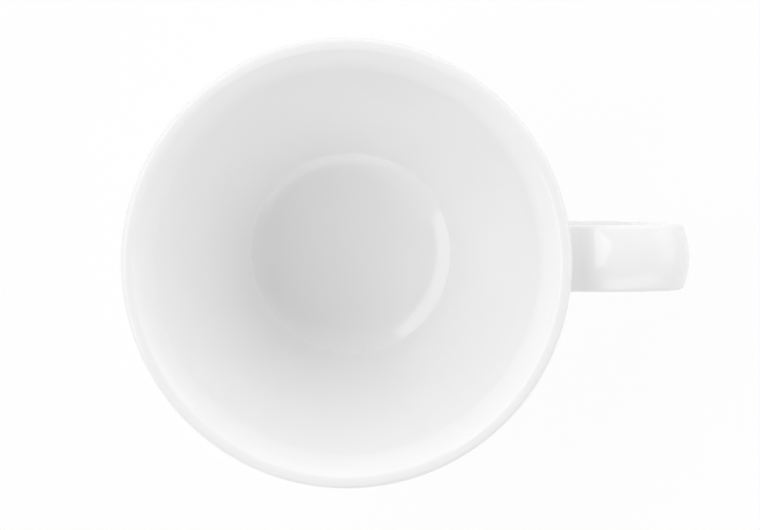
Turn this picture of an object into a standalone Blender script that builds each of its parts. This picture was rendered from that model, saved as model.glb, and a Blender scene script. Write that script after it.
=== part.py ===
"""Cafe au lait cup in glazed white porcelain.

A roller-formed conical bowl on a foot ring, and a slip-cast strap handle stuck to its wall with two layers of
slip. Metres, +Z up. The cup stands on z = 0 with its handle towards +X, and the origin is below the middle of
its whole length. Every outline below is measured from the bowl's own axis, which stands at x = AXIS_X.
"""

import math

import bmesh
import bpy
import numpy as np

MM = 0.001

# Bowl
HEIGHT = 72 * MM
RIM_RADIUS = 54 * MM
LIP_FLARE = 16.0 * MM  # the inner wall opens in a long round
LIP_FLARE_END = 40.0  # degrees from level, where a tighter round meets the lip's top
LIP_CORNER = 1.5 * MM
LIP_TOP = 4.3 * MM  # the top is almost level
LIP_TOP_TURN = 8.0  # degrees, to each side of level
LIP_OUTSIDE = 1.3 * MM
INNER_LEAN = math.radians(19.5)  # from the vertical
OUTER_LEAN = math.radians(20.2)
FLOOR_HEIGHT = 5.5 * MM  # the flat floor inside, above the standing plane
FLOOR_DISH = 15.1 * MM  # the floor rises as a shallow dish and meets the wall in a tight corner
FLOOR_DISH_RISE = 23.5  # degrees
FLOOR_CORNER = 0.6 * MM
HEEL_FILLET = 4.0 * MM  # where the outer wall turns under
FOOT_RADIUS = 24.5 * MM
FOOT_WIDTH = 3.2 * MM
FOOT_HEIGHT = 2.0 * MM
FOOT_EDGE = 0.5 * MM
FOOT_HOLLOW = 0.6 * MM  # fillet between the foot ring and the bowl
RECESS_DEPTH = 1.6 * MM  # the underside inside the foot ring
RECESS_FILLET = 1.0 * MM
TURNING_STEPS = 96

# Handle
HANDLE_REACH = 83.4 * MM  # from the bowl's axis to the outermost face
STRAP_WIDTH = 16.2 * MM
STRAP_THICKNESS = 5.8 * MM
OUTER_CROWN = 20 * MM  # radius across the strap's outer face
INNER_CROWN = 60 * MM
STRAP_EDGE = 1.5 * MM
ARM_RISE = 20.0  # degrees: the upper arm rises from the wall into an arch
ARCH_HEIGHT = 60.4 * MM  # arch, bends and lower arm are measured at mid-thickness
ARCH_RADIUS = 23.0 * MM
ARCH_FALL = 17.0  # degrees, where the arch runs into the upper bend
UPPER_BEND = 8.5 * MM
OUTER_RUN_LEAN = 28.0  # degrees from the vertical, between the bends
LOWER_BEND = 18.0 * MM
LOWER_ARM_HEIGHT = 22.0 * MM  # the lower arm is level

# Slip joints
GAP = 0.3 * MM  # between pieces that touch
SLIP_THICKNESS = 0.8 * MM
ROOT_LENGTH = 4.5 * MM  # the hollow flare at each root, measured square to the wall
ROOT_FLARE = 2.6 * MM  # and across the arm, at the wall

AXIS_X = (RIM_RADIUS - HANDLE_REACH) / 2
GLAZE_WHITE = (0.92, 0.92, 0.92, 1.0)
GLAZE_ROUGHNESS = 0.08
SHARP_ANGLE = math.radians(40)


def arc(centre, radius, start, end, steps):
    """Points of an arc between two angles in degrees, both ends included."""
    angles = np.radians(np.linspace(start, end, steps + 1))
    return np.stack([centre[0] + radius * np.cos(angles), centre[1] + radius * np.sin(angles)], axis=1)


def touching_arcs(arcs):
    """Arcs that run into one another smoothly, from (0, 0): each a radius, two angles in degrees and its steps."""
    points = np.zeros((1, 2))
    for radius, start, end, steps in arcs:
        turned = arc(points[-1], radius, start, end, steps)
        points = np.concatenate([points, turned[1:] + points[-1] - turned[0]])
    return points


def lip():
    """The lip from the inner wall to the outer wall, with points exactly at its top and at its widest."""
    rounds = touching_arcs([
        (LIP_FLARE, 180 - math.degrees(INNER_LEAN), 90 + LIP_FLARE_END, 4),
        (LIP_CORNER, 90 + LIP_FLARE_END, 90 + LIP_TOP_TURN, 3),
        (LIP_TOP, 90 + LIP_TOP_TURN, 90 - LIP_TOP_TURN, 2),
        (LIP_OUTSIDE, 90 - LIP_TOP_TURN, 0, 5),
        (LIP_OUTSIDE, 0, -math.degrees(OUTER_LEAN), 1),
    ])
    return rounds + (RIM_RADIUS, HEIGHT) - rounds.max(axis=0)


def inner_radius(z):
    """Radius of the straight inner wall at height z, down from the lip."""
    r, top = lip()[0]
    return r - (top - z) * math.tan(INNER_LEAN)


def outer_radius(z):
    """Radius of the straight outer wall at height z, down from the lip."""
    r, top = lip()[-1]
    return r - (top - z) * math.tan(OUTER_LEAN)


def floor_edge():
    """From the flat floor to the inner wall: a shallow dish and a tight corner."""
    edge = touching_arcs([
        (FLOOR_DISH, -90, FLOOR_DISH_RISE - 90, 5),
        (FLOOR_CORNER, FLOOR_DISH_RISE - 90, -math.degrees(INNER_LEAN), 5),
    ])
    edge[:, 1] += FLOOR_HEIGHT
    edge[:, 0] += inner_radius(edge[-1, 1]) - edge[-1, 0]
    return edge


def bowl_profile():
    """Half section: floor, inner wall, lip, outer wall, heel, foot ring and recess, from axis to axis."""
    heel_z = FOOT_HEIGHT + HEEL_FILLET
    heel = (outer_radius(heel_z) - HEEL_FILLET / math.cos(OUTER_LEAN), heel_z)
    foot_inner = FOOT_RADIUS - FOOT_WIDTH
    return np.concatenate([
        [(0, FLOOR_HEIGHT)],
        floor_edge(),
        lip(),
        arc(heel, HEEL_FILLET, -math.degrees(OUTER_LEAN), -90, 7),
        arc((FOOT_RADIUS + FOOT_HOLLOW, FOOT_HEIGHT - FOOT_HOLLOW), FOOT_HOLLOW, 90, 180, 3),
        arc((FOOT_RADIUS - FOOT_EDGE, FOOT_EDGE), FOOT_EDGE, 0, -90, 3),
        arc((foot_inner + FOOT_EDGE, FOOT_EDGE), FOOT_EDGE, -90, -180, 3),
        arc((foot_inner - RECESS_FILLET, RECESS_DEPTH - RECESS_FILLET), RECESS_FILLET, 0, 90, 4),
        [(0, RECESS_DEPTH)],
    ])


def make_bowl():
    """The half section turned about the axis, as the bowl is on the wheel."""
    profile = bowl_profile()
    points = np.insert(profile, 1, 0, axis=1)
    edges = [(i, i + 1) for i in range(len(points) - 1)]
    mesh = bpy.data.meshes.new("bowl")
    mesh.from_pydata(points, edges, [])
    bowl = bpy.data.objects.new("bowl", mesh)
    turn = bowl.modifiers.new("turn", "SCREW")
    turn.steps = turn.render_steps = TURNING_STEPS
    turn.use_merge_vertices = True
    turn.merge_threshold = 0.01 * MM
    turn.use_smooth_shade = True
    bowl.modifiers.new("flat faces stay flat", "WEIGHTED_NORMAL")
    return bowl


def face_and_edge(crown, edge_steps, face_steps):
    """Right half of one face of the strap, as (across, out) from its side to its middle.

    The edge's round touches the crowned face from inside, so the two run into each other smoothly.
    """
    meet = math.asin((STRAP_WIDTH / 2 - STRAP_EDGE) / (crown - STRAP_EDGE))
    crown_centre = (0, STRAP_THICKNESS / 2 - crown)
    edge_centre = (STRAP_WIDTH / 2 - STRAP_EDGE, crown_centre[1] + (crown - STRAP_EDGE) * math.cos(meet))
    angle = 90 - math.degrees(meet)
    edge = arc(edge_centre, STRAP_EDGE, 0, angle, edge_steps)
    face = arc(crown_centre, crown, angle, 90, face_steps)
    return np.concatenate([edge, face[1:]])


def strap_section():
    """Closed outline of the strap, anticlockwise from its right side, with four equal quarters."""
    outer = face_and_edge(OUTER_CROWN, 3, 3)
    inner = face_and_edge(INNER_CROWN, 3, 3)
    outer_left = outer[-2::-1] * (-1, 1)
    inner_left = inner * (-1, -1)
    inner_right = inner[-2::-1] * (1, -1)
    return np.concatenate([outer, outer_left, inner_left, inner_right])


def outward(outline):
    """Unit normals of a closed anticlockwise outline, each square to the line between its neighbours."""
    along = np.roll(outline, -1, axis=0) - np.roll(outline, 1, axis=0)
    normals = along[:, ::-1] * (1, -1)
    return normals / np.linalg.norm(normals, axis=1, keepdims=True)


def direction(angle):
    """Unit vector in the handle's plane, at an angle in degrees from the horizontal."""
    turn = math.radians(angle)
    return np.array((math.cos(turn), math.sin(turn)))


def handle_bends():
    """The arch, the upper bend and the lower bend: centre, radius, and the angles of the outer face at its rings.

    The arch touches the upper bend, which leaves the arch's last ring out, and a straight run joins the bends.
    """
    inwards = (ARCH_RADIUS - UPPER_BEND) * direction(90 - ARCH_FALL)
    upper_x = HANDLE_REACH - STRAP_THICKNESS / 2 - UPPER_BEND
    arch = np.array((upper_x - inwards[0], ARCH_HEIGHT - ARCH_RADIUS))
    upper = arch + inwards
    lower = upper + (UPPER_BEND - LOWER_BEND) * direction(-OUTER_RUN_LEAN)
    run = (lower[1] - LOWER_BEND - LOWER_ARM_HEIGHT) / math.cos(math.radians(OUTER_RUN_LEAN))
    lower = lower + run * direction(-90 - OUTER_RUN_LEAN)
    return [
        (arch, ARCH_RADIUS, np.linspace(90 + ARM_RISE, 90 - ARCH_FALL, 7, endpoint=False)),
        (upper, UPPER_BEND, np.linspace(90 - ARCH_FALL, -OUTER_RUN_LEAN, 12)),
        (lower, LOWER_BEND, np.linspace(-OUTER_RUN_LEAN, -90, 11)),
    ]


def arms():
    """Each arm as a point on it, its rise outwards in degrees, and 1 or -1 as its outer face looks up or down."""
    arch, radius, angles = handle_bends()[0]
    upper = (arch + radius * direction(angles[0]), ARM_RISE, 1)
    lower = (np.array((0, LOWER_ARM_HEIGHT)), 0, -1)
    return {"upper": upper, "lower": lower}


def root_ring(section, arm, distance):
    """The flared section at a distance from the bowl's wall, so that it follows the wall's cone.

    The flare is a quarter ellipse, from nothing at ROOT_LENGTH to ROOT_FLARE at the wall. A line along the arm
    meets the cone where its distance from the axis equals outer_radius, which makes a quadratic equation.
    """
    start, rise, side = arm
    along = direction(rise)
    out = side * direction(rise + 90)
    near = 1 - distance / ROOT_LENGTH
    flared = section + ROOT_FLARE * (1 - math.sqrt(1 - near * near)) * outward(section)
    y = flared[:, 0]
    x = start[0] + out[0] * flared[:, 1]
    z = start[1] + out[1] * flared[:, 1]
    wall = outer_radius(z)
    widening = along[1] * math.tan(OUTER_LEAN)
    square = along[0] ** 2 - widening**2
    half = x * along[0] - wall * widening
    to_wall = (np.sqrt(half**2 - square * (x**2 + y**2 - wall**2)) - half) / square
    reach = to_wall + distance / math.cos(OUTER_LEAN + math.radians(rise))
    return np.stack([x + reach * along[0], y, z + reach * along[1]], axis=1)


def strap_rings(section):
    """The section square to its path round the arch and the bends, with its outer face on the outer side."""
    rings = []
    for centre, bend, angles in handle_bends():
        for angle in angles:
            x, z = centre[:, None] + direction(angle)[:, None] * (bend + section[:, 1])
            rings.append(np.stack([x, section[:, 0], z], axis=1))
    return rings


def loft(name, rings):
    """A closed solid through matching rings. Each cap is a row of strips from the strap's outer face to its
    inner face, so it bends across its width as the bowl's wall does.
    """
    shape = bmesh.new()
    loops = [[shape.verts.new(point) for point in ring] for ring in rings]
    count = len(loops[0])
    for loop, following in zip(loops, loops[1:]):
        for i in range(count):
            shape.faces.new((loop[i - 1], loop[i], following[i], following[i - 1]))
    for loop in (loops[0], loops[-1]):
        for i in range(count // 2 - 1):
            shape.faces.new((loop[i], loop[i + 1], loop[-i - 2], loop[-i - 1]))
    bmesh.ops.recalc_face_normals(shape, faces=shape.faces[:])
    mesh = bpy.data.meshes.new(name)
    shape.to_mesh(mesh)
    shape.free()
    mesh.shade_smooth()
    mesh.set_sharp_from_angle(angle=SHARP_ANGLE)
    return bpy.data.objects.new(name, mesh)


def make_handle():
    """The strap from one flared end to the other, each end a gap away from its layer of slip."""
    section = strap_section()
    distances = np.linspace(SLIP_THICKNESS + 2 * GAP, ROOT_LENGTH, 5)
    upper = [root_ring(section, arms()["upper"], d) for d in distances]
    lower = [root_ring(section, arms()["lower"], d) for d in distances[::-1]]
    return loft("handle", upper + strap_rings(section) + lower)


def make_slip_joint(name, arm):
    """The layer of slip between an arm and the wall, which carries the root's flare on to the wall."""
    distances = np.linspace(GAP, GAP + SLIP_THICKNESS, 4)
    return loft(name, [root_ring(strap_section(), arm, d) for d in distances])


def add_piece(obj, axis):
    """Links a piece, stands it on the bowl's axis and gives it its own glaze."""
    glaze = bpy.data.materials.new(obj.name + "_glaze")
    glaze.use_nodes = True
    shader = glaze.node_tree.nodes["Principled BSDF"]
    shader.inputs["Base Color"].default_value = GLAZE_WHITE
    shader.inputs["Roughness"].default_value = GLAZE_ROUGHNESS
    shader.inputs["Metallic"].default_value = 0.0
    obj.data.materials.append(glaze)
    obj.parent = axis
    bpy.context.collection.objects.link(obj)


for obj in list(bpy.data.objects):
    bpy.data.objects.remove(obj)

bowl_axis = bpy.data.objects.new("bowl_axis", None)
bowl_axis.location.x = AXIS_X
bpy.context.collection.objects.link(bowl_axis)

add_piece(make_bowl(), bowl_axis)
add_piece(make_handle(), bowl_axis)
for end, arm in arms().items():
    add_piece(make_slip_joint(end + "_slip_joint", arm), bowl_axis)
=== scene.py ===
"""Looks of a cafe au lait cup: white porcelain under a clear gloss glaze, seen from almost straight above.

Two surfaces carry the finish. The bowl is one profile turned about its axis, and the handle is one strap
section carried along its path, with hollow roots that run into the bowl's wall. Metres, in the part's frame.
"""

import math

import bpy
import numpy as np
from mathutils import Matrix, Vector


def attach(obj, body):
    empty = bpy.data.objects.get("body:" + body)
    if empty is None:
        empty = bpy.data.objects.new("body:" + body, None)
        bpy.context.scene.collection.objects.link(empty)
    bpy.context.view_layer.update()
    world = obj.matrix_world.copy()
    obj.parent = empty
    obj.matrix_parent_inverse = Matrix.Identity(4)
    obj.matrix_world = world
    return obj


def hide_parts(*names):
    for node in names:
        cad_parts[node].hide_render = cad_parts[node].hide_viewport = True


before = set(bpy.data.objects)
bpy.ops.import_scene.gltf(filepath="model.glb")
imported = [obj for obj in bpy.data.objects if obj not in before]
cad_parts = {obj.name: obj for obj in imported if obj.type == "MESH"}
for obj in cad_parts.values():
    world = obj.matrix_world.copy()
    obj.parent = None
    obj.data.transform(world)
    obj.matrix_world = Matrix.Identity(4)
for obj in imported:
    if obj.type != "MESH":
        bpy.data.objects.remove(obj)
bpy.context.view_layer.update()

MM = 0.001

# Bowl, measured from its axis
AXIS_X = -14.7 * MM
HEIGHT = 72 * MM
RIM_RADIUS = 54 * MM
LIP_FLARE = 16.0 * MM
LIP_FLARE_END = 40.0
LIP_CORNER = 1.5 * MM
LIP_TOP = 4.3 * MM
LIP_TOP_TURN = 8.0
LIP_OUTSIDE = 1.3 * MM
INNER_LEAN = math.radians(19.5)
OUTER_LEAN = math.radians(20.2)
FLOOR_HEIGHT = 5.5 * MM
FLOOR_DISH = 15.1 * MM
FLOOR_DISH_RISE = 23.5
FLOOR_CORNER = 0.6 * MM
HEEL_FILLET = 4.0 * MM
FOOT_RADIUS = 24.5 * MM
FOOT_WIDTH = 3.2 * MM
FOOT_HEIGHT = 2.0 * MM
FOOT_EDGE = 0.5 * MM
FOOT_HOLLOW = 0.6 * MM
RECESS_DEPTH = 1.6 * MM
RECESS_FILLET = 1.0 * MM

# Handle
HANDLE_REACH = 83.4 * MM
STRAP_WIDTH = 16.2 * MM
STRAP_THICKNESS = 5.8 * MM
OUTER_CROWN = 20 * MM
INNER_CROWN = 60 * MM
STRAP_EDGE = 1.5 * MM
ARM_RISE = 20.0
ARCH_HEIGHT = 60.4 * MM
ARCH_RADIUS = 23.0 * MM
ARCH_FALL = 17.0
UPPER_BEND = 8.5 * MM
OUTER_RUN_LEAN = 28.0
LOWER_BEND = 18.0 * MM
LOWER_ARM_HEIGHT = 22.0 * MM
ROOT_LENGTH = 4.5 * MM
ROOT_FLARE = 2.6 * MM
ROOT_SINK = 0.3 * MM
ROOT_SPREAD = 1.0 * MM  # how far the skin goes on under the wall as it sinks
ROOT_TIP = 1.0 * MM  # how far inside the wall the skin closes

# Fineness of the surfaces, in steps or rings along each stretch
BOWL_TURN_STEPS = 288
FLOOR_STEPS = 10
DISH_STEPS = 24
FLOOR_CORNER_STEPS = 12
WALL_STEPS = 24
LIP_FLARE_STEPS = 24
LIP_CORNER_STEPS = 8
LIP_TOP_STEPS = 10
LIP_OUTSIDE_STEPS = 20
LIP_UNDERSIDE_STEPS = 5
HEEL_STEPS = 16
FOOT_ROUND_STEPS = 8
FOOT_FACE_STEPS = 4
STRAP_EDGE_STEPS = 12
STRAP_FACE_STEPS = 14
ROOT_RINGS = 28
UPPER_ARM_STEPS = 8
ARCH_RINGS = 24
BEND_RINGS = 40
OUTER_RUN_STEPS = 30
LOWER_ARM_STEPS = 16

# Finish
GLAZE_DULLEST = (0.88, 0.88, 0.88, 1)
GLAZE_WHITEST = (0.90, 0.90, 0.90, 1)
GLAZE_ROUGHNESS = 0.045
GLAZE_ROUGHNESS_RANGE = 0.02
GLAZE_IOR = 1.5
TONE_SCALE, TONE_DETAIL = 70.0, 2.0
WAVE_SCALE, WAVE_DETAIL = 90.0, 1.0
WAVE_HEIGHT = 0.01 * MM
CLAY_DARK = (0.72, 0.70, 0.66, 1)
CLAY_LIGHT = (0.84, 0.82, 0.78, 1)
CLAY_ROUGHER = 0.6
GRAIN_SCALE, GRAIN_DETAIL = 2500.0, 3.0
WIPED_HEIGHT = 0.3 * MM  # the standing ring is wiped free of glaze up to here
WIPED_EDGE = 0.05 * MM
WIPED_WAVER = 0.2 * MM
MIX_FIRST_COLOUR, MIX_SECOND_COLOUR, MIX_COLOUR = 6, 7, 2  # the Mix node's colour sockets

# Picture
FRAME_WIDTH = 760
FOCAL_PIXELS = 3773
SENSOR_WIDTH = 36
CAMERA_ABOVE_RIM = 0.9
CAMERA_OFFSET = (16.8 * MM, 36.7 * MM)
AIM_OFFSET = (8.06 * MM, -0.44 * MM)
CAMERA_ROLL = math.radians(-0.66)
BOUNCES = 24  # enough for light that is caught inside the bowl

# Table
TABLE_HALF = 6
TABLE_COLOUR = (0.95, 0.95, 0.95, 1)
TABLE_SHOWN_WHITE = 0.9  # the rest of what the camera sees of it is its own shading
WHITE = (1, 1, 1, 1)

# Standing softboxes, 1 m from the cup. In degrees, as the cup sees them: facing, half width, bottom, top.
# The last value is radiance.
SOFTBOX_DISTANCE = 1.0
SOFTBOXES = {
    "left": (165, 42.5, 44, 72.5, 1.9),
    "right": (17.5, 24.5, 5, 49.5, 0.53),
    "front": (-77.5, 42.5, 43, 61, 0.93),
    "back": (82, 19, 25, 47, 0.4),
}
ROOM_LEVEL = 0.38  # light from the room's ceiling
WALLS_LEVEL = 0.27  # more from its walls
SWEEP_LEVEL = 0.275  # and from the white sweep round the table, most of all behind the cup
SWEEP_TOP = math.sin(math.radians(38))
WALLS_TOP = math.sin(math.radians(56))
SOFT_EDGE = 0.05


class Wire:
    """A shader socket that takes part in Python expressions, and the maker of every other node."""

    def __init__(self, tree, socket):
        self.tree = tree
        self.socket = socket

    @staticmethod
    def feed(tree, target, value):
        if isinstance(value, Wire):
            tree.links.new(value.socket, target)
        else:
            target.default_value = value

    @staticmethod
    def node(tree, kind, settings=None, sockets=None, output=0):
        """Adds a node of a type, sets its settings first and then its sockets' values or links."""
        made = tree.nodes.new(kind)
        for name, value in (settings or {}).items():
            setattr(made, name, value)
        for name, value in (sockets or {}).items():
            Wire.feed(tree, made.inputs[name], value)
        return Wire(tree, made.outputs[output]) if len(made.outputs) else made

    def math(self, operation, first, second):
        return Wire.node(self.tree, "ShaderNodeMath", {"operation": operation}, {0: first, 1: second})

    def __add__(self, other):
        return self.math("ADD", self, other)

    def __radd__(self, other):
        return self.math("ADD", other, self)

    def __sub__(self, other):
        return self.math("SUBTRACT", self, other)

    def __rsub__(self, other):
        return self.math("SUBTRACT", other, self)

    def __mul__(self, other):
        return self.math("MULTIPLY", self, other)

    def __rmul__(self, other):
        return self.math("MULTIPLY", other, self)

    def step(self, low, high):
        """0 below low, 1 above high and smooth between them."""
        return Wire.node(
            self.tree,
            "ShaderNodeMapRange",
            {"interpolation_type": "SMOOTHSTEP"},
            {"Value": self, "From Min": low, "From Max": high},
        )


# Shapes


def arc(centre, radius, start, end, steps):
    """Points of an arc between two angles in degrees, both ends included, as (steps + 1, 2)."""
    angles = np.radians(np.linspace(start, end, steps + 1))
    return np.stack([centre[0] + radius * np.cos(angles), centre[1] + radius * np.sin(angles)], axis=1)


def line(start, end, steps):
    """Points strictly between two points, or rings between two rings: (1 - share) start + share end."""
    share = np.linspace(0, 1, steps + 1)[1:-1]
    return np.multiply.outer(1 - share, start) + np.multiply.outer(share, end)


def touching_arcs(arcs):
    """Arcs that run into one another smoothly, from (0, 0).

    Each has a radius, two angles in degrees and its steps, and starts where the one before it ends.
    """
    points = np.zeros((1, 2))
    for radius, start, end, steps in arcs:
        turned = arc(points[-1], radius, start, end, steps)
        points = np.concatenate([points, turned[1:] + points[-1] - turned[0]])
    return points


def lip():
    """The lip from inner to outer wall: a long flare, a tighter round, an almost level top and a round."""
    rounds = touching_arcs([
        (LIP_FLARE, 180 - math.degrees(INNER_LEAN), 90 + LIP_FLARE_END, LIP_FLARE_STEPS),
        (LIP_CORNER, 90 + LIP_FLARE_END, 90 + LIP_TOP_TURN, LIP_CORNER_STEPS),
        (LIP_TOP, 90 + LIP_TOP_TURN, 90 - LIP_TOP_TURN, LIP_TOP_STEPS),
        (LIP_OUTSIDE, 90 - LIP_TOP_TURN, 0, LIP_OUTSIDE_STEPS),
        (LIP_OUTSIDE, 0, -math.degrees(OUTER_LEAN), LIP_UNDERSIDE_STEPS),
    ])
    return rounds + (RIM_RADIUS, HEIGHT) - rounds.max(axis=0)


def inner_radius(z):
    """Radius of the straight inner wall at height z, down from the lip."""
    r, top = lip()[0]
    return r - (top - z) * math.tan(INNER_LEAN)


def outer_radius(z):
    """Radius of the straight outer wall at height z, down from the lip."""
    r, top = lip()[-1]
    return r - (top - z) * math.tan(OUTER_LEAN)


def floor_edge():
    """From the flat floor to the inner wall: a shallow dish and a tight corner."""
    edge = touching_arcs([
        (FLOOR_DISH, -90, FLOOR_DISH_RISE - 90, DISH_STEPS),
        (FLOOR_CORNER, FLOOR_DISH_RISE - 90, -math.degrees(INNER_LEAN), FLOOR_CORNER_STEPS),
    ])
    edge[:, 1] += FLOOR_HEIGHT
    edge[:, 0] += inner_radius(edge[-1, 1]) - edge[-1, 0]
    return edge


def bowl_profile():
    """Half section as (radius, height), from the floor over the lip and down to the recess under the foot.

    Straight stretches are divided evenly and every corner is made of arcs that touch their neighbours.
    """
    edge = floor_edge()
    rim = lip()
    heel_z = FOOT_HEIGHT + HEEL_FILLET
    heel_r = outer_radius(heel_z) - HEEL_FILLET / math.cos(OUTER_LEAN)
    heel = arc((heel_r, heel_z), HEEL_FILLET, -math.degrees(OUTER_LEAN), -90, HEEL_STEPS)
    hollow_centre = (FOOT_RADIUS + FOOT_HOLLOW, FOOT_HEIGHT - FOOT_HOLLOW)
    hollow = arc(hollow_centre, FOOT_HOLLOW, 90, 180, FOOT_ROUND_STEPS)
    outer_edge = arc((FOOT_RADIUS - FOOT_EDGE, FOOT_EDGE), FOOT_EDGE, 0, -90, FOOT_ROUND_STEPS)
    foot_inner = FOOT_RADIUS - FOOT_WIDTH
    inner_edge = arc((foot_inner + FOOT_EDGE, FOOT_EDGE), FOOT_EDGE, -90, -180, FOOT_ROUND_STEPS)
    recess_centre = (foot_inner - RECESS_FILLET, RECESS_DEPTH - RECESS_FILLET)
    recess = arc(recess_centre, RECESS_FILLET, 0, 90, FOOT_ROUND_STEPS)
    return np.concatenate([
        line((0, FLOOR_HEIGHT), edge[0], FLOOR_STEPS),
        edge,
        line(edge[-1], rim[0], WALL_STEPS),
        rim,
        line(rim[-1], heel[0], WALL_STEPS),
        heel,
        hollow,
        outer_edge,
        line(outer_edge[-1], inner_edge[0], FOOT_FACE_STEPS),
        inner_edge,
        recess,
        line(recess[-1], (0, RECESS_DEPTH), FLOOR_STEPS),
    ])


def closed_skin(name, rings, first_tip, last_tip):
    """A closed mesh through rings of matching points, (rings, points, 3), with a fan to a tip at each end.

    The points run so that the step from ring to ring, crossed with the step along a ring, looks out.
    """
    count, around = rings.shape[:2]
    vertices = np.concatenate([[first_tip], rings.reshape(-1, 3), [last_tip]])
    index = 1 + np.arange(count * around).reshape(count, around)
    after = np.roll(index, -1, axis=1)
    quads = np.stack([index[:-1], index[1:], after[1:], after[:-1]], axis=-1).reshape(-1, 4)
    last = len(vertices) - 1
    first_fan = np.stack([np.zeros(around, int), index[0], after[0]], axis=1)
    last_fan = np.stack([index[-1], np.full(around, last), after[-1]], axis=1)
    mesh = bpy.data.meshes.new(name)
    mesh.from_pydata(vertices, [], quads.tolist() + first_fan.tolist() + last_fan.tolist())
    mesh.shade_smooth()
    piece = bpy.data.objects.new(name, mesh)
    bpy.context.scene.collection.objects.link(piece)
    return piece


def make_bowl():
    """Profile (r, z) turned about the axis: x = axis + r cos t, y = r sin t, z, for t all the way round."""
    r, z = bowl_profile().T[:, :, None]
    turn = np.linspace(0, 2 * math.pi, BOWL_TURN_STEPS, endpoint=False)
    rings = np.stack(np.broadcast_arrays(AXIS_X + r * np.cos(turn), r * np.sin(turn), z), axis=-1)
    return closed_skin("glazed_bowl", rings, (AXIS_X, 0, FLOOR_HEIGHT), (AXIS_X, 0, RECESS_DEPTH))


def quarter_section(crown):
    """One quarter of the strap's outline as (across, out): the edge's round, then the crowned face."""
    meet = math.asin((STRAP_WIDTH / 2 - STRAP_EDGE) / (crown - STRAP_EDGE))
    crown_centre = (0, STRAP_THICKNESS / 2 - crown)
    edge_centre = (STRAP_WIDTH / 2 - STRAP_EDGE, crown_centre[1] + (crown - STRAP_EDGE) * math.cos(meet))
    angle = 90 - math.degrees(meet)
    edge = arc(edge_centre, STRAP_EDGE, 0, angle, STRAP_EDGE_STEPS)
    face = arc(crown_centre, crown, angle, 90, STRAP_FACE_STEPS)
    return np.concatenate([edge, face[1:]])


def strap_section():
    """The strap's closed outline, clockwise seen along its path, from four quarters."""
    outer = quarter_section(OUTER_CROWN)
    inner = quarter_section(INNER_CROWN)
    outer_side = [outer, outer[-2::-1] * (-1, 1)]
    inner_side = [inner * (-1, -1), inner[-2::-1] * (1, -1)]
    return np.concatenate(outer_side + inner_side)[::-1]


def outward(outline):
    """Unit normals of a closed clockwise outline, each square to the line between its neighbours."""
    along = np.roll(outline, -1, axis=0) - np.roll(outline, 1, axis=0)
    normals = along[:, ::-1] * (-1, 1)
    return normals / np.linalg.norm(normals, axis=1, keepdims=True)


def direction(angle):
    """Unit vector in the handle's plane, at an angle in degrees from the horizontal."""
    turn = math.radians(angle)
    return np.array((math.cos(turn), math.sin(turn)))


def root_rings(section, start, rise, side):
    """Rings of a root, from inside the wall to the plain strap, along an arm through start that rises.

    At distance d from the wall the outline is widened by a quarter ellipse,
    flare (1 - sqrt(1 - (1 - d / length)^2)). A line along the arm meets the bowl's outer cone where its
    distance from the axis equals outer_radius, which makes a quadratic equation, and d is measured square
    to the wall.
    """
    swing = np.radians(np.linspace(90, 0, ROOT_RINGS))
    distance = np.concatenate([[-ROOT_SINK], ROOT_LENGTH * (1 - np.sin(swing))])[:, None]
    flare = np.concatenate([[ROOT_FLARE + ROOT_SPREAD], ROOT_FLARE * (1 - np.cos(swing))])[:, None]
    across, out = section.T[:, None, :]
    across_normal, out_normal = outward(section).T[:, None, :]
    along = direction(rise)
    outwards = side * direction(rise + 90)
    thickness = out + flare * out_normal
    y = across + flare * across_normal
    x = start[0] + outwards[0] * thickness
    z = start[1] + outwards[1] * thickness
    wall = outer_radius(z)
    widening = along[1] * math.tan(OUTER_LEAN)
    square = along[0] ** 2 - widening**2
    half = x * along[0] - wall * widening
    to_wall = (np.sqrt(half**2 - square * (x**2 + y**2 - wall**2)) - half) / square
    reach = to_wall + distance / math.cos(OUTER_LEAN + math.radians(rise))
    return np.stack([AXIS_X + x + reach * along[0], y, z + reach * along[1]], axis=-1)


def bend_rings(section, centre, radius, angles):
    """The section square to an arc about centre: out adds to the radius, across stays across."""
    turn = np.radians(angles)[:, None]
    across, out = section.T[:, None, :]
    x = AXIS_X + centre[0] + (radius + out) * np.cos(turn)
    z = centre[1] + (radius + out) * np.sin(turn)
    return np.stack(np.broadcast_arrays(x, across, z), axis=-1)


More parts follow.
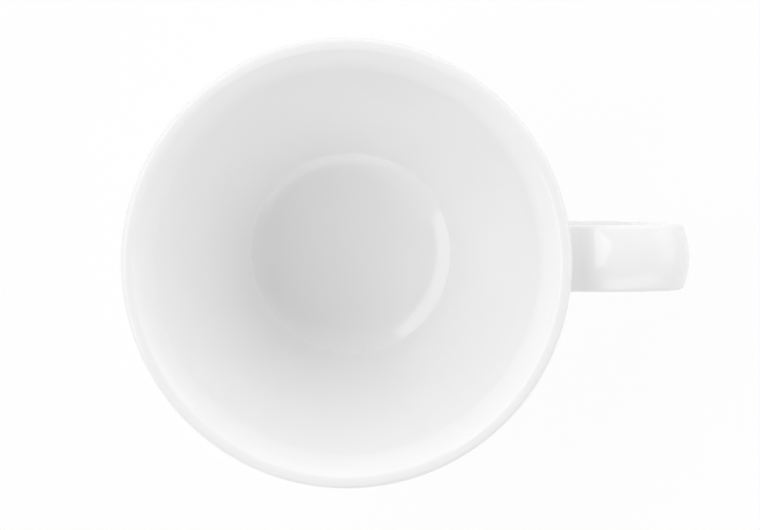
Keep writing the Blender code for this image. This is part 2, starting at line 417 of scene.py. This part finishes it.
def make_handle():
    """The strap section carried along upper root, arch, bend, leaning run, bend and lower root.

    Arch, bends and run touch one another, and the straight stretches are divided evenly.
    """
    section = strap_section()
    inwards = (ARCH_RADIUS - UPPER_BEND) * direction(90 - ARCH_FALL)
    upper_x = HANDLE_REACH - STRAP_THICKNESS / 2 - UPPER_BEND
    arch = np.array((upper_x - inwards[0], ARCH_HEIGHT - ARCH_RADIUS))
    upper = arch + inwards
    lower = upper + (UPPER_BEND - LOWER_BEND) * direction(-OUTER_RUN_LEAN)
    run = (lower[1] - LOWER_BEND - LOWER_ARM_HEIGHT) / math.cos(math.radians(OUTER_RUN_LEAN))
    lower = lower + run * direction(-90 - OUTER_RUN_LEAN)
    upper_arm = arch + ARCH_RADIUS * direction(90 + ARM_RISE)
    arch_angles = np.linspace(90 + ARM_RISE, 90 - ARCH_FALL, ARCH_RINGS, endpoint=False)
    upper_angles = np.linspace(90 - ARCH_FALL, -OUTER_RUN_LEAN, BEND_RINGS)
    lower_angles = np.linspace(-OUTER_RUN_LEAN, -90, BEND_RINGS)
    upper_root = root_rings(section, upper_arm, ARM_RISE, 1)
    over = bend_rings(section, arch, ARCH_RADIUS, arch_angles)
    upper_turn = bend_rings(section, upper, UPPER_BEND, upper_angles)
    lower_turn = bend_rings(section, lower, LOWER_BEND, lower_angles)
    lower_root = root_rings(section, (0, LOWER_ARM_HEIGHT), 0, -1)[::-1]
    rings = np.concatenate([
        upper_root,
        line(upper_root[-1], over[0], UPPER_ARM_STEPS),
        over,
        upper_turn,
        line(upper_turn[-1], lower_turn[0], OUTER_RUN_STEPS),
        lower_turn,
        line(lower_turn[-1], lower_root[0], LOWER_ARM_STEPS),
        lower_root,
    ])
    inside = np.array((ROOT_TIP, 0, 0))
    first_tip = rings[0].mean(axis=0) - inside
    last_tip = rings[-1].mean(axis=0) - inside
    return closed_skin("glazed_handle", rings, first_tip, last_tip)


# Finishes


def new_material(name):
    material = bpy.data.materials.new(name)
    material.use_nodes = True
    material.node_tree.nodes.clear()
    return material, material.node_tree


def noise(tree, place, scale, detail):
    """Soft changes between 0 and 1 over the surface, about scale of them to the metre."""
    return Wire.node(tree, "ShaderNodeTexNoise", None, {"Vector": place, "Scale": scale, "Detail": detail})


def mix_colour(tree, share, first, second):
    """From the first colour to the second, as share goes from 0 to 1."""
    return Wire.node(
        tree,
        "ShaderNodeMix",
        {"data_type": "RGBA"},
        {"Factor": share, MIX_FIRST_COLOUR: first, MIX_SECOND_COLOUR: second},
        output=MIX_COLOUR,
    )


def glaze(name, wiped_height=None):
    """White porcelain under clear gloss glaze with slow waves; below wiped_height the fired clay is bare."""
    material, tree = new_material(name)
    place = Wire.node(tree, "ShaderNodeTexCoord", output="Object")
    tone = noise(tree, place, TONE_SCALE, TONE_DETAIL)
    waves = noise(tree, place, WAVE_SCALE, WAVE_DETAIL)
    colour = mix_colour(tree, tone, GLAZE_DULLEST, GLAZE_WHITEST)
    roughness = tone * GLAZE_ROUGHNESS_RANGE + GLAZE_ROUGHNESS
    if wiped_height:
        height = Wire.node(tree, "ShaderNodeSeparateXYZ", None, {"Vector": place}, output="Z")
        bare = 1 - (height + waves * WIPED_WAVER).step(wiped_height, wiped_height + WIPED_EDGE)
        grain = noise(tree, place, GRAIN_SCALE, GRAIN_DETAIL)
        colour = mix_colour(tree, bare, colour, mix_colour(tree, grain, CLAY_DARK, CLAY_LIGHT))
        roughness = roughness + bare * CLAY_ROUGHER
    bump = Wire.node(
        tree,
        "ShaderNodeBump",
        None,
        {"Strength": 1.0, "Distance": WAVE_HEIGHT, "Height": waves},
    )
    shader = Wire.node(
        tree,
        "ShaderNodeBsdfPrincipled",
        None,
        {"Base Color": colour, "Roughness": roughness, "Normal": bump, "IOR": GLAZE_IOR},
    )
    Wire.node(tree, "ShaderNodeOutputMaterial", None, {"Surface": shader})
    return material


def white_to_see(tree):
    """1 for what the camera sees, straight, mirrored or through glass, and 0 for light on its way."""
    straight = Wire.node(tree, "ShaderNodeLightPath", output="Is Camera Ray")
    mirrored = Wire.node(tree, "ShaderNodeLightPath", output="Is Glossy Ray")
    through = Wire.node(tree, "ShaderNodeLightPath", output="Is Transmission Ray")
    return straight + mirrored + through


def table_top():
    """White table: it shows as white with the cup's soft shadow left in it, and lights the cup as itself."""
    material, tree = new_material("table_white")
    diffuse = Wire.node(tree, "ShaderNodeBsdfDiffuse", None, {"Color": TABLE_COLOUR})
    white = Wire.node(tree, "ShaderNodeEmission", None, {"Color": WHITE, "Strength": 1.0})
    share = white_to_see(tree) * TABLE_SHOWN_WHITE
    surface = Wire.node(tree, "ShaderNodeMixShader", None, {0: share, 1: diffuse, 2: white})
    Wire.node(tree, "ShaderNodeOutputMaterial", None, {"Surface": surface})
    return material


# Pieces

bowl = make_bowl()
bowl.data.materials.append(glaze("bowl_glaze", WIPED_HEIGHT))
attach(bowl, "root")
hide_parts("bowl")

handle = make_handle()
handle.data.materials.append(glaze("handle_glaze"))
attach(handle, "root")
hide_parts("handle", "upper_slip_joint", "lower_slip_joint")

# Studio

table_corners = [
    (-TABLE_HALF, -TABLE_HALF, 0),
    (TABLE_HALF, -TABLE_HALF, 0),
    (TABLE_HALF, TABLE_HALF, 0),
    (-TABLE_HALF, TABLE_HALF, 0),
]
table_mesh = bpy.data.meshes.new("table")
table_mesh.from_pydata(table_corners, [], [(0, 1, 2, 3)])
table_mesh.materials.append(table_top())
table = bpy.data.objects.new("table", table_mesh)
bpy.context.scene.collection.objects.link(table)

middle = Vector((AXIS_X, 0, HEIGHT / 2))
for name, (turn, across, bottom, top, radiance) in SOFTBOXES.items():
    turn, across, bottom, top = map(math.radians, (turn, across, bottom, top))
    lamp = bpy.data.lights.new(name, "AREA")
    lamp.shape = "RECTANGLE"
    lamp.size = 2 * SOFTBOX_DISTANCE * math.tan(across)
    lamp.size_y = SOFTBOX_DISTANCE * (math.tan(top) - math.tan(bottom))
    lamp.energy = radiance * math.pi * lamp.size * lamp.size_y
    box = bpy.data.objects.new(name, lamp)
    away = Vector((math.cos(turn), math.sin(turn), 0))
    raised = Vector((0, 0, (math.tan(top) + math.tan(bottom)) / 2))
    box.location = middle + SOFTBOX_DISTANCE * (away + raised)
    box.rotation_euler = away.to_track_quat("Z", "Y").to_euler()
    bpy.context.scene.collection.objects.link(box)

world = bpy.data.worlds.new("studio")
world.use_nodes = True
sky = world.node_tree
sky.nodes.clear()
towards = Wire.node(sky, "ShaderNodeTexCoord", output="Generated")
behind = Wire.node(sky, "ShaderNodeSeparateXYZ", None, {"Vector": towards}, output="Y")
up = Wire.node(sky, "ShaderNodeSeparateXYZ", None, {"Vector": towards}, output="Z")
walls = 1 - up.step(WALLS_TOP - SOFT_EDGE, WALLS_TOP + SOFT_EDGE)
sweep = 1 - up.step(SWEEP_TOP - SOFT_EDGE, SWEEP_TOP + SOFT_EDGE)
room = ROOM_LEVEL + walls * WALLS_LEVEL + sweep * (behind + 1) * SWEEP_LEVEL
light = Wire.node(sky, "ShaderNodeBackground", None, {"Color": WHITE, "Strength": room})
Wire.node(sky, "ShaderNodeOutputWorld", None, {"Surface": light})
bpy.context.scene.world = world

# Camera

lens = bpy.data.cameras.new("camera")
lens.sensor_width = SENSOR_WIDTH
lens.lens = FOCAL_PIXELS / FRAME_WIDTH * SENSOR_WIDTH
camera = bpy.data.objects.new("camera", lens)
place = Vector((AXIS_X + CAMERA_OFFSET[0], CAMERA_OFFSET[1], HEIGHT + CAMERA_ABOVE_RIM))
aim = Vector((AXIS_X + AIM_OFFSET[0], AIM_OFFSET[1], HEIGHT))
ahead = (aim - place).normalized()
right = ahead.cross(Vector((-math.sin(CAMERA_ROLL), math.cos(CAMERA_ROLL), 0))).normalized()
above = right.cross(ahead)
camera.matrix_world = Matrix.Translation(place) @ Matrix((right, above, -ahead)).transposed().to_4x4()
bpy.context.scene.collection.objects.link(camera)
bpy.context.scene.camera = camera
bpy.context.scene.view_settings.view_transform = "Standard"
bpy.context.scene.cycles.max_bounces = BOUNCES
bpy.context.scene.cycles.diffuse_bounces = BOUNCES
bpy.context.scene.cycles.blur_glossy = 0.0  # blurred mirror paths would darken the bowl's floor corner
